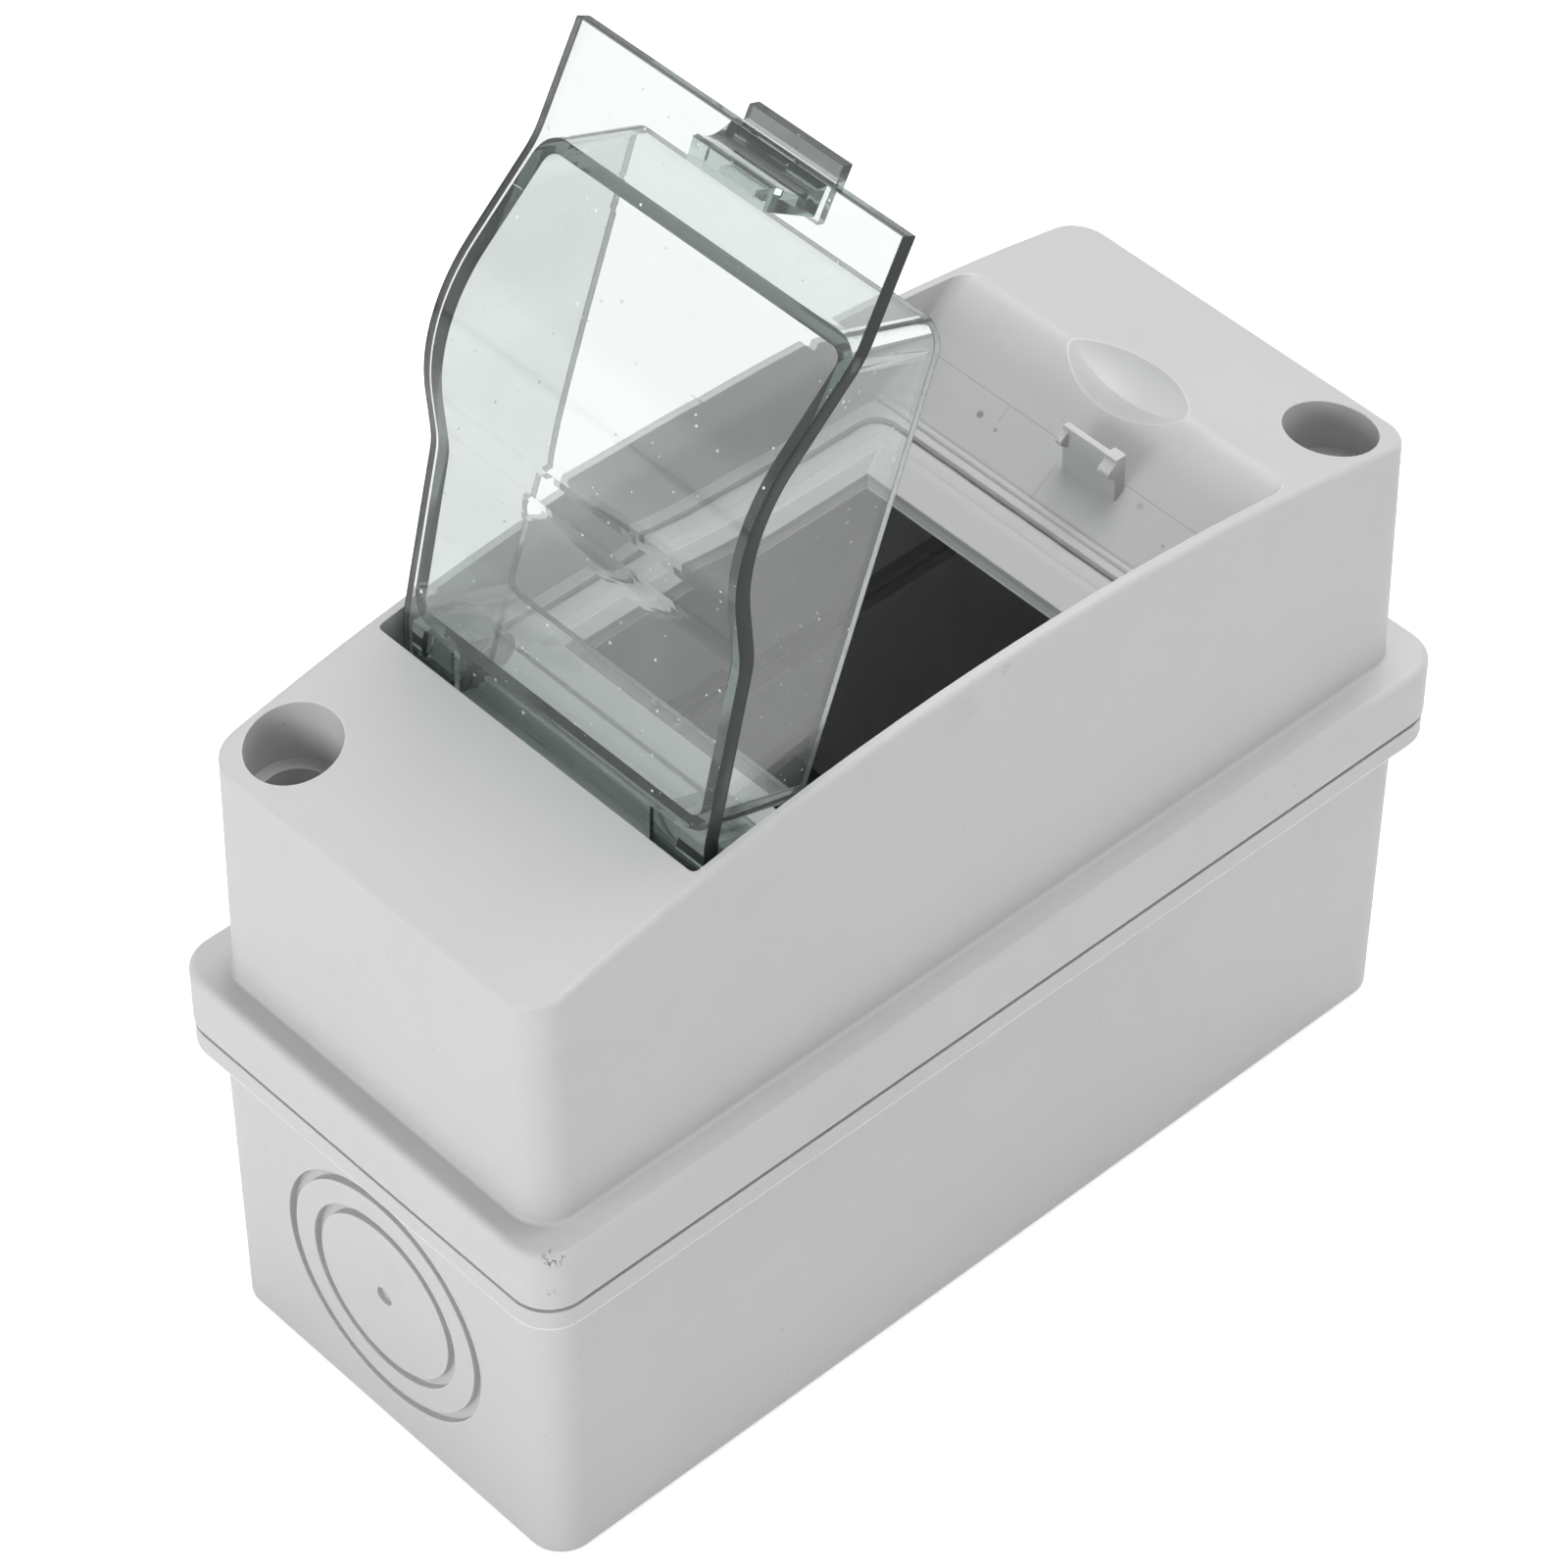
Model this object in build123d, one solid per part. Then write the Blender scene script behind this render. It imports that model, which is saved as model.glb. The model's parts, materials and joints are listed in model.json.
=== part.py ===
from build123d import *
import math
import os

os.makedirs("parts", exist_ok=True)

# Small distribution box for two breakers, lying on its back: the wall side is Z = 0 and the door looks up.
# The origin is the middle of the back face, X runs across the box and Y runs along it to the hinge.
# All sizes are millimetres and degrees.

# Breakers that the box is made for
module_count = 2
module_width = 18.0
module_face_length = 45.0
window_play_x = 0.6
window_play_y = 1.0

# Back box
flange_width = 65.0
flange_length = 145.0
box_step_in = 3.0
box_corner = 4.4
box_draft = 0.5
box_wall = 2.2
box_floor = 2.5
box_foot_bevel = 0.7
rim_top = 48.0
lip_height = 3.3
lip_step_in = 0.1
lip_edge_bevel = 0.5
lip_corner = 5.2

# Front cover
seam_gap = 0.8
flange_height = 8.4
flange_corner = 5.2
flange_edge_round = 1.0
flange_wall = 3.1
flange_skin = 2.2
foot_fillet = 0.5
cover_step_in_x = 4.1
cover_step_in_y = 3.5
cover_corner = 4.8
cover_draft = 0.8
cover_height = 99.0
arch_rise = 8.2
cover_edge_round = 0.8
cover_skin = 2.0
cover_end_wall = 2.6
least_corner = 0.2

# Gasket joint between box and cover
gasket_groove_width = 1.8
gasket_groove_depth = 1.8
gasket_height = 1.4
tongue_play = 0.15

# Recess for the door
frame_depth = 14.0
frame_skin = 1.8
seal_groove_depth = 1.8
seal_height = 1.1
window_bevel_x = 1.5
window_bevel_y = 3.7
window_bevel_depth = 1.2
far_shelf = 2.1
far_slope_run = 15.0
far_edge_round = 3.0
slope_side_round = 1.6
ridge_radius = 0.5
hinge_corner_round = 0.8
hinge_lip_height = 2.2
hinge_lip_reach = 1.8
trough_depth = 4.0
trough_start = 1.9

# Door, as it lies closed
door_play = 1.3
door_overhang = 0.7
plate_thickness = 2.0
tub_wall = 1.8
tub_half_length = 30.4
tub_corner = 3.2
tub_draft = 1.0
rim_play = 0.4
rim_swing_play = 0.9
rim_above_seal = 0.3
free_end_gap = 4.1
free_end_rise = 6.58
shoulder_rise = 8.53
shoulder_step = 0.6
crown_place = -9.0
crown_rise = 19.48
dip_place = 7.27
dip_rise = 11.98
heel_from_hinge = 3.0
heel_rise = 9.03
hinge_end_reach = 8.33
hinge_end_rise = 5.28
bend_radius = 10.0
crown_radius = 21.5
open_angle = 69.76

# Hinge
hinge_from_tub = 3.57
hinge_above_frame = 5.72
hinge_to_edge = 10.23
trunnion_radius = 1.2
trunnion_play = 0.05
trunnion_bite = 0.7
trunnion_end_gap = 0.25
collar_radius = 2.0
collar_gap = 0.5
barrel_radius = 2.6
arm_inner_x = 16.9
arm_flare = 0.8
slit_width = 0.6

# Finger block, tongue and hook at the free end of the door
latch_offset = -6.5
block_root_width = 15.0
block_tip_width = 11.6
block_root_depth = 4.0
block_tip_depth = 2.8
block_height = 7.2
block_scoop_radius = 6.0
block_scoop_depth = 0.9
tongue_width = 14.2
tongue_reach = 1.8
tongue_length = 5.0
tongue_thickness = 1.5
tongue_sunk = 0.4
hook_offset = -4.0
hook_width = 5.6
hook_thickness = 1.4
hook_gap = 0.4
hook_drop = 3.4

# Catch on the far slope: an upright wall between two ears with a nose
catch_inner_end = -0.7
catch_outer_end = -9.3
catch_from_foot = 4.4
catch_height = 9.4
catch_wall = 0.8
catch_root = 0.6
inner_ear_width = 0.8
outer_ear_width = 1.8
outer_ear_back = 0.8
nose_reach = 1.6
nose_drop = 1.7
nose_undercut = 1.4
nose_round = 0.5

# Almond-shaped finger scoop across the far edge
scoop_offset = -0.4
scoop_half_length = 12.4
scoop_radius = 6.5
scoop_from_edge = 0.3
scoop_above_edge = 3.0

# Cover screws and their towers
screw_inset_x = 7.5
screw_inset_y = 7.9
screw_radius = 2.0
screw_play = 0.05
screw_hole_play = 0.3
screw_length = 22.0
screw_head_radius = 3.6
screw_head_height = 2.6
screw_slot_width = 1.0
screw_slot_length = 4.6
screw_slot_depth = 1.5
screw_seat_thickness = 4.0
screw_seal_thickness = 1.0
screw_seal_play = 0.1
tower_bore_radius = 4.3
tower_wall = 1.6
counterbore_radius = 5.75
counterbore_floor = 84.5
boss_radius = 4.2
boss_rib = 1.6
pilot_depth = 24.0

# Wall fixing holes, in the two corners that the cover screws leave free
fixing_hole_radius = 2.5
fixing_seat_radius = 5.0
fixing_seat_height = 2.5

# Cable entries to knock out
entry_height = 23.3
entry_outer_radius = 17.2
entry_inner_radius = 12.6
entry_groove_width = 1.3
entry_groove_depth = 0.9
entry_dimple_radius = 1.3
entry_dimple_depth = 0.6

# Rail and its pillars
rail_width = 35.0
rail_height = 7.5
rail_channel_width = 27.0
rail_metal = 1.0
rail_bend = 0.3
rail_front = 36.5
rail_slot_length = 9.0
rail_slot_width = 4.4
rail_screw_from_end = 7.0
rail_screw_radius = 1.7
rail_screw_length = 12.0
rail_screw_head_radius = 3.4
rail_screw_head_height = 2.2
rail_screw_slot_length = 4.2
pillar_radius = 3.8
pillar_rib = 1.6
pillar_rib_reach = 4.0
rail_end_gap = 2.3
pilot_play = 0.05

# Places that follow from the sizes
flange_half_x = flange_width / 2
flange_half_y = flange_length / 2
lip_half_x = flange_half_x - lip_step_in
lip_half_y = flange_half_y - lip_step_in
lip_low = rim_top - lip_height
box_half_x = flange_half_x - box_step_in
box_half_y = flange_half_y - box_step_in
flange_low = rim_top + seam_gap
flange_top = flange_low + flange_height
box_inner_x = box_half_x - box_wall
box_inner_y = box_half_y - box_wall
groove_line_x = (lip_half_x + box_inner_x) / 2
groove_line_y = (lip_half_y + box_inner_y) / 2
cover_half_x = flange_half_x - cover_step_in_x
cover_half_y = flange_half_y - cover_step_in_y
recess_half_x = cover_half_x - cover_skin
cavity_half_y = cover_half_y - cover_end_wall
arch_radius = (cover_half_y ** 2 + arch_rise ** 2) / (2 * arch_rise)
arch_centre = cover_height - arch_radius
window_half_x = (module_count * module_width + window_play_x) / 2
window_half_y = (module_face_length + window_play_y) / 2
frame_z = cover_height - frame_depth
frame_low = frame_z - seal_groove_depth - frame_skin
door_half_x = recess_half_x - door_play
tub_half_x = door_half_x - door_overhang
groove_outer_x = tub_half_x + rim_play
groove_outer_y = tub_half_length + rim_play
groove_inner_x = tub_half_x - tub_wall - rim_swing_play
seal_low = frame_z - seal_groove_depth
rim_z = seal_low + seal_height + rim_above_seal
far_foot = -(groove_outer_y + far_shelf)
far_edge = far_foot - far_slope_run
hinge_y = tub_half_length + hinge_from_tub
hinge_z = frame_z + hinge_above_frame
hinge_edge = hinge_y + hinge_to_edge
trough_y = tub_half_length + trough_start
trough_z = frame_z - trough_depth
free_end = far_edge + free_end_gap
screw_x = cover_half_x - screw_inset_x
screw_y = cover_half_y - screw_inset_y
screw_seat = rim_top + screw_seat_thickness
catch_y = far_foot - catch_from_foot
catch_back = catch_y - catch_wall
catch_top = frame_z + catch_height
rail_low = rail_front - rail_height
rail_length = 2 * (box_inner_x - rail_end_gap)
rail_screw_x = rail_length / 2 - rail_screw_from_end
tall = 3 * cover_height

# How closely an edge is looked for at its expected place
match = 0.05


def arch_height(y):
    """Height of the arched top at a distance y along the box."""
    return arch_centre + math.sqrt(arch_radius ** 2 - y ** 2)


def block(half_x, half_y, corner, low, high, draft=0.0):
    """Block with rounded corners between two heights, whose walls lean in by the draft on the way up."""
    outline = Pos(0, 0, low) * RectangleRounded(2 * half_x, 2 * half_y, corner)
    return extrude(outline, high - low, taper=draft)


def ring(half_x, half_y, corner, width, low, high):
    """Closed band of one width that follows a rounded rectangle from its outer edge inwards."""
    inner_corner = max(corner - width, least_corner)
    outer = block(half_x, half_y, corner, low, high)
    return outer - block(half_x - width, half_y - width, inner_corner, low, high)


def across(outline, half_x, centre=0.0):
    """Solid of a side outline, drawn as Y and Z, over a width across the box."""
    return extrude(Plane.YZ.offset(centre) * outline, half_x, both=True)


def span(low_y, low_z, high_y, high_z):
    """Upright rectangle in the side view."""
    middle = ((low_y + high_y) / 2, (low_z + high_z) / 2)
    return Pos(*middle) * Rectangle(high_y - low_y, high_z - low_z)


def post(x, y, radius, low, high):
    """Upright round bar or bore."""
    return Pos(x, y, (low + high) / 2) * Cylinder(radius, high - low)


def side_bar(radius, start_x, end_x, y, z):
    """Round bar across the box between two X places."""
    return Pos((start_x + end_x) / 2, y, z) * Rot(0, 90, 0) * Cylinder(radius, abs(end_x - start_x))


def under_arch(skin=0.0):
    """Side outline of all that lies under the arched top, less a skin."""
    disc = Pos(0, arch_centre) * Circle(arch_radius - skin)
    return disc & span(-flange_length, 0, flange_length, tall)


def slope_height(y):
    """Height of the far slope of the recess."""
    rise = arch_height(far_edge) - frame_z
    return frame_z + (far_foot - y) * rise / far_slope_run


def far_rounding():
    """Arc that rounds the far edge, from the slope to the arched top."""
    lean = math.atan2(arch_height(far_edge) - frame_z, far_slope_run)
    uphill = Vector(-math.cos(lean), math.sin(lean))
    inward = Vector(-math.sin(lean), -math.cos(lean))
    middle = Vector(0, arch_centre)
    start = Vector(far_foot, frame_z) + inward * far_edge_round - middle
    inner_radius = arch_radius - far_edge_round
    back = start.dot(uphill)
    way = math.sqrt(back ** 2 - start.dot(start) + inner_radius ** 2) - back
    centre = middle + start + uphill * way
    on_slope = centre - inward * far_edge_round
    on_top = middle + (centre - middle).normalized() * arch_radius
    halfway = centre + (on_slope + on_top - centre * 2).normalized() * far_edge_round
    return ThreePointArc(on_slope, halfway, on_top)


def recess_outline():
    """Side outline of the recess for the door, with frame, hinge trough and a far slope that runs on up."""
    lip_low_z = arch_height(hinge_edge) - hinge_lip_height
    wall_y = hinge_edge + hinge_lip_reach
    beyond = far_edge - far_slope_run
    return make_face(Polyline(
        (beyond, slope_height(beyond)),
        (beyond, tall),
        (hinge_edge, tall),
        (hinge_edge, lip_low_z),
        (wall_y, lip_low_z),
        (wall_y, trough_z),
        (trough_y, trough_z),
        (trough_y, frame_z),
        (far_foot, frame_z),
        close=True,
    ))


def rounded_recess_outline():
    """The same outline with the far edge of the slope rounded into the arched top."""
    rounding = far_rounding()
    start = rounding @ 0
    end = rounding @ 1
    level = Polyline((end.X, end.Y), (end.X, tall), (start.X, tall), (start.X, start.Y))
    cut = recess_outline() & span(start.X, 0, hinge_edge + hinge_lip_reach, tall)
    return cut + make_face([level, rounding])


def edges_at(solid, y, z):
    """Edges of a solid whose middle lies at one place of the side view."""
    return solid.edges().filter_by(
        lambda edge: math.hypot(edge.center().Y - y, edge.center().Z - z) < match)


def recess():
    """Space for the door, rounded between far slope and side walls and at its hinge corners."""
    space = across(rounded_recess_outline(), recess_half_x)
    slope_end = far_rounding() @ 0
    slope_sides = edges_at(space, (far_foot + slope_end.X) / 2, (frame_z + slope_end.Y) / 2)
    space = fillet(slope_sides, slope_side_round)
    lip_low_z = arch_height(hinge_edge) - hinge_lip_height
    return fillet(edges_at(space, hinge_edge, (tall + lip_low_z) / 2), hinge_corner_round)


def cover_shell():
    """Tapered housing with an arched top and a flange round its foot."""
    start = flange_low
    widen = math.tan(math.radians(cover_draft)) * (flange_top - start)
    walls = block(cover_half_x + widen, cover_half_y + widen, cover_corner + widen, start,
                  cover_height + arch_rise, cover_draft)
    walls = walls & across(under_arch(), flange_width)
    walls = fillet(walls.faces().sort_by(Axis.Z)[-1].edges(), cover_edge_round)
    flange = block(flange_half_x, flange_half_y, flange_corner, flange_low, flange_top)
    flange = fillet(flange.faces().sort_by(Axis.Z)[-1].edges(), flange_edge_round)
    shell = flange + walls
    foot = shell.edges().filter_by(lambda edge: abs(edge.bounding_box().max.Z - flange_top) < match)
    foot = foot.filter_by(lambda edge: abs(edge.bounding_box().min.Z - flange_top) < match)
    foot = foot.filter_by(lambda edge: abs(edge.center().X) < cover_half_x + match)
    foot = foot.filter_by(lambda edge: abs(edge.center().Y) < cover_half_y + match)
    return fillet(foot, foot_fillet)


def cover_cavity():
    """Hollow of the cover, which follows the arch, the recess and the flange at one skin."""
    outline = under_arch(cover_skin) - offset(recess_outline(), cover_skin, kind=Kind.INTERSECTION)
    outline -= span(far_foot - cover_skin, frame_low, trough_y + cover_skin, frame_z)
    hollow = across(outline, recess_half_x)
    hollow = hollow & Box(2 * recess_half_x, 2 * cavity_half_y, 2 * tall)
    skirt_height = flange_top - flange_skin
    skirt = Box(2 * (flange_half_x - flange_wall), 2 * (flange_half_y - flange_wall), 2 * skirt_height)
    return hollow + skirt


def screw_places():
    """The two corners, across from each other, that hold the cover screws."""
    return [(screw_x, screw_y), (-screw_x, -screw_y)]


def fixing_places():
    """The two corners that hold the wall fixing holes."""
    return [(-screw_x, screw_y), (screw_x, -screw_y)]


def hinge_bore(side):
    """Blind bore in a side wall of the recess, which takes a trunnion of the door."""
    start = side * (recess_half_x - trunnion_bite)
    end = side * (recess_half_x + trunnion_bite + trunnion_end_gap)
    return side_bar(trunnion_radius + trunnion_play, start, end, hinge_y, hinge_z)


def catch():
    """Upright wall on the far slope between two ears, whose noses hold the door."""
    foot = slope_height(catch_y) - catch_root
    half = (catch_inner_end - catch_outer_end) / 2
    wall = across(span(catch_back, foot, catch_y, catch_top), half, catch_outer_end + half)
    ear = ear_outline(foot)
    inner = across(ear, inner_ear_width / 2, catch_inner_end - inner_ear_width / 2)
    ear += span(catch_back - outer_ear_back, foot, catch_back, catch_top)
    return wall + inner + across(ear, outer_ear_width / 2, catch_outer_end + outer_ear_width / 2)


def ear_outline(foot):
    """Side outline of an ear of the catch, with its nose towards the hinge."""
    nose_z = catch_top - nose_drop
    outline = make_face(Polyline(
        (catch_back, foot),
        (catch_back, catch_top),
        (catch_y + nose_reach, nose_z),
        (catch_y, nose_z - nose_undercut),
        (catch_y, foot),
        close=True,
    ))
    return fillet(outline.vertices().sort_by(Axis.X)[-1], nose_round)


def front_cover():
    """Cover with recess, frame, window, hinge bores, catch and screw towers."""
    shell = cover_shell()
    cover = shell - recess() - (cover_cavity() - scoop_backing())
    cover += gasket_tongue()
    for x, y in screw_places():
        wide = post(x, y, counterbore_radius + tower_wall, counterbore_floor - tower_wall, cover_height)
        slim = post(x, y, tower_bore_radius + tower_wall, rim_top, counterbore_floor)
        cover += (wide + slim) & (shell + post(x, y, tower_bore_radius + tower_wall, rim_top, flange_top))
    for x, y in screw_places():
        cover -= post(x, y, counterbore_radius, counterbore_floor, tall)
        cover -= post(x, y, tower_bore_radius, screw_seat, counterbore_floor)
        cover -= post(x, y, screw_radius + screw_hole_play, rim_top, screw_seat)
    cover -= ring(groove_outer_x, groove_outer_y, tub_corner, groove_outer_x - groove_inner_x,
                  seal_low, frame_z)
    cover -= window()
    for side in (-1, 1):
        cover -= hinge_bore(side)
    cover -= finger_scoop()
    cover += side_bar(ridge_radius, -recess_half_x, recess_half_x, far_foot + ridge_radius, frame_z)
    return cover + catch()


def window():
    """Opening for the breaker faces, with a bevel round it."""
    low = frame_z - window_bevel_depth
    opening = Pos(0, 0, frame_z - frame_depth / 2) * Box(2 * window_half_x, 2 * window_half_y, frame_depth)
    bottom = Pos(0, 0, low) * Rectangle(2 * window_half_x, 2 * window_half_y)
    top = Pos(0, 0, frame_z) * Rectangle(
        2 * (window_half_x + window_bevel_x), 2 * (window_half_y + window_bevel_y))
    return opening + loft([bottom, top])


def scoop_place():
    """Place of the middle of the finger scoop, over the far edge."""
    return Pos(scoop_offset, far_edge + scoop_from_edge, arch_height(far_edge) + scoop_above_edge)


def finger_scoop():
    """Almond-shaped hollow in the far edge for a fingertip under the tongue."""
    bow = ThreePointArc((-scoop_half_length, 0), (0, scoop_radius), (scoop_half_length, 0))
    half = make_face([bow, Line((scoop_half_length, 0), (-scoop_half_length, 0))])
    return scoop_place() * revolve(half, Axis.X)


def scoop_backing():
    """Plain bar that thickens the skin under the finger scoop."""
    return scoop_place() * Rot(0, 90, 0) * Cylinder(scoop_radius + cover_skin, 2 * scoop_half_length)


def gasket_tongue():
    """Band under the flange that presses the gasket into its groove."""
    reach = gasket_groove_width / 2 - tongue_play
    low = rim_top - gasket_groove_depth + gasket_height
    return ring(groove_line_x + reach, groove_line_y + reach, box_corner, 2 * reach, low, flange_low)


def gasket_groove(clearance=0.0):
    """Groove in the rim of the back box, or the gasket that fills its foot."""
    reach = gasket_groove_width / 2
    low = rim_top - gasket_groove_depth
    return ring(groove_line_x + reach, groove_line_y + reach, box_corner, gasket_groove_width,
                low, rim_top - clearance)


def entry_rings(side):
    """Grooves round the cable entry in an end wall, and its centre dimple."""
    face = Plane.XZ.offset(-side * (box_half_y + box_wall)) * Pos(0, entry_height)
    depth = box_wall + entry_groove_depth
    marks = Sketch()
    for radius in (entry_outer_radius, entry_inner_radius):
        marks += Circle(radius) - Circle(radius - entry_groove_width)
    cut = extrude(face * marks, side * depth)
    dimple = extrude(face * Circle(entry_dimple_radius), side * (box_wall + entry_dimple_depth))
    return cut + dimple


def back_box():
    """Open tray with a lip, bosses for the cover screws, pillars for the rail and wall fixing holes."""
    tray = block(box_half_x, box_half_y, box_corner, 0, rim_top, -box_draft)
    tray = chamfer(tray.faces().sort_by(Axis.Z)[0].edges(), box_foot_bevel)
    lip = block(lip_half_x, lip_half_y, lip_corner, lip_low, rim_top)
    tray += chamfer(lip.faces().sort_by(Axis.Z)[0].edges(), lip_edge_bevel)
    tray -= block(box_inner_x, box_inner_y, box_corner - box_wall, box_floor, rim_top)
    inside = Part()
    for x, y in screw_places():
        inside += post(x, y, boss_radius, box_floor, rim_top)
        reach_x = math.copysign(box_half_x - abs(x), x)
        reach_y = math.copysign(box_half_y - abs(y), y)
        middle = (box_floor + lip_low) / 2
        inside += Pos(x + reach_x / 2, y, middle) * Box(abs(reach_x), boss_rib, lip_low - box_floor)
        inside += Pos(x, y + reach_y / 2, middle) * Box(boss_rib, abs(reach_y), lip_low - box_floor)
    for x, y in fixing_places():
        inside += post(x, y, fixing_seat_radius, box_floor, box_floor + fixing_seat_height)
    for side in (-1, 1):
        inside += rail_pillar(side)
    tray += inside
    for x, y in screw_places():
        tray -= post(x, y, screw_radius + screw_play, rim_top - pilot_depth, rim_top)
    for x, y in fixing_places():
        tray -= post(x, y, fixing_hole_radius, 0, box_floor + fixing_seat_height)
    for side in (-1, 1):
        x = side * rail_screw_x
        low = rail_low - rail_screw_length
        tray -= post(x, 0, rail_screw_radius + pilot_play, low, rail_low)
        tray -= entry_rings(side)
    tray -= gasket_groove()
    return tray


def rail_pillar(side):
    """Pillar under one end of the rail, stiffened by two ribs."""
    x = side * rail_screw_x
    pillar = post(x, 0, pillar_radius, box_floor, rail_low)
    height = (rail_low - box_floor) / 2
    reach = 2 * (pillar_radius + pillar_rib_reach)
    rib = Pos(x, 0, box_floor + height / 2) * Box(pillar_rib, reach, height)
    return pillar + rib


def door_outer_line():
    """Side line of the outer face of the closed door, from its free end to its hinge end."""
    points = [
        (free_end, hinge_z + free_end_rise),
        (-(tub_half_length - shoulder_step), hinge_z + shoulder_rise),
        (crown_place, hinge_z + crown_rise),
        (dip_place, hinge_z + dip_rise),
        (hinge_y - heel_from_hinge, hinge_z + heel_rise),
        (hinge_y + hinge_end_reach, hinge_z + hinge_end_rise),
    ]
    return FilletPolyline(*points, radius=[bend_radius, crown_radius, bend_radius, bend_radius])


def under_line(line):
    """Side outline of all that lies under a line, down to the floor."""
    start = line @ 0
    end = line @ 1
    close = Polyline(end, (end.X, 0), (start.X, 0), start)
    return make_face([line, close])


def closed_door():
    """Clear door with crown, tub, hinge arms and latch, as it lies closed."""
    line = door_outer_line()
    outer = under_line(line)
    inner = under_line(line.offset_2d(plate_thickness, side=Side.RIGHT, closed=False))
    plate = across(make_face(line.offset_2d(plate_thickness, side=Side.RIGHT)), door_half_x)
    crown_top = hinge_z + crown_rise
    tub = block(tub_half_x, tub_half_length, tub_corner, rim_z, crown_top, -tub_draft)
    hollow = block(tub_half_x - tub_wall, tub_half_length - tub_wall, tub_corner - tub_wall,
                   rim_z, crown_top, -tub_draft)
    leaf = plate + (tub & across(outer, flange_width)) - (hollow & across(inner, flange_width))
    for side in (-1, 1):
        leaf += hinge_arm(side, outer)
        leaf -= hinge_slit(side)
    return leaf + finger_block() + tongue() + hook(outer)


def hinge_arm(side, outer):
    """Arm from the plate down to the hinge axis, with a collar and a trunnion that point outwards."""
    web = make_face(Polyline(
        (hinge_y - barrel_radius, hinge_z),
        (hinge_y + barrel_radius, hinge_z),
        (hinge_y + barrel_radius + arm_flare, hinge_z + heel_rise),
        (hinge_y - barrel_radius, hinge_z + heel_rise),
        close=True,
    ))
    outline = (web + Pos(hinge_y, hinge_z) * Circle(barrel_radius)) & outer
    half = (tub_half_x - arm_inner_x) / 2
    middle = side * (arm_inner_x + half)
    arm = across(outline, half, middle)
    arm += side_bar(collar_radius, middle, side * (recess_half_x - collar_gap), hinge_y, hinge_z)
    return arm + side_bar(trunnion_radius, middle, side * (recess_half_x + trunnion_bite), hinge_y, hinge_z)


def hinge_slit(side):
    """Slit beside a hinge arm, which lets the arm bend when the door is snapped in."""
    start = tub_half_length + slit_width
    end = hinge_y + hinge_end_reach + slit_width
    outline = span(start, hinge_z, end, hinge_z + 2 * heel_rise)
    return across(outline, slit_width / 2, side * (arm_inner_x - slit_width / 2))


def plate_under(y):
    """Height of the flat underside of the door plate near its free end."""
    lean = (shoulder_rise - free_end_rise) / (shoulder_step - tub_half_length - free_end)
    return hinge_z + free_end_rise - plate_thickness + lean * (y - free_end)


def finger_block():
    """Tapered block that a finger pulls, hollowed on the side of the free end."""
    root_z = hinge_z + free_end_rise - plate_thickness / 2
    tip_z = hinge_z + free_end_rise + block_height
    root = Pos(latch_offset, free_end + block_root_depth / 2, root_z) * Rectangle(
        block_root_width, block_root_depth)
    tip = Pos(latch_offset, free_end + block_tip_depth / 2, tip_z) * Rectangle(
        block_tip_width, block_tip_depth)
    scoop_y = free_end - block_scoop_radius + block_scoop_depth
    scoop_z = (root_z + tip_z) / 2
    half = block_root_width / 2
    scoop = side_bar(block_scoop_radius, latch_offset - half, latch_offset + half, scoop_y, scoop_z)
    return loft([root, tip]) - scoop


def tongue():
    """Thin lip under the plate that reaches past the free end."""
    start = free_end - tongue_reach
    end = free_end + tongue_length
    top = plate_under(start) + tongue_sunk
    far_top = plate_under(end) + tongue_sunk
    outline = make_face(Polyline(
        (start, top - tongue_thickness),
        (start, top),
        (end, far_top),
        (end, far_top - tongue_thickness),
        close=True,
    ))
    return across(outline, tongue_width / 2, latch_offset)


def hook(outer):
    """Short wall under the plate that drops behind the wall of the catch."""
    high_y = catch_back - hook_gap
    low_y = high_y - hook_thickness
    low_z = plate_under(low_y) - hook_drop
    return across(span(low_y, low_z, high_y, tall) & outer, hook_width / 2, hook_offset)


def door():
    """Door standing open at its angle of rest."""
    swing = Pos(0, hinge_y, hinge_z) * Rot(-open_angle, 0, 0) * Pos(0, -hinge_y, -hinge_z)
    return swing * closed_door()


def door_seal():
    """Soft band in the groove of the frame."""
    width = groove_outer_x - groove_inner_x
    return ring(groove_outer_x, groove_outer_y, tub_corner, width, seal_low, seal_low + seal_height)


def cover_gasket():
    """Soft band at the bottom of the groove in the rim of the back box."""
    return gasket_groove(gasket_groove_depth - gasket_height)


def din_rail():
    """Top-hat rail across the box, with a slot over each pillar."""
    half = rail_channel_width / 2
    outline = span(-half, rail_low, half, rail_low + rail_metal)
    for side in (-1, 1):
        leg = sorted((side * (half - rail_metal), side * half))
        flange = sorted((side * (half - rail_metal), side * rail_width / 2))
        outline += span(leg[0], rail_low, leg[1], rail_front)
        outline += span(flange[0], rail_front - rail_metal, flange[1], rail_front)
    outline = fillet(outline.vertices(), rail_bend)
    rail = across(outline, rail_length / 2)
    for side in (-1, 1):
        slot = Pos(side * rail_screw_x, 0, rail_low) * SlotOverall(rail_slot_length, rail_slot_width)
        rail -= extrude(slot, rail_metal)
    return rail


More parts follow.
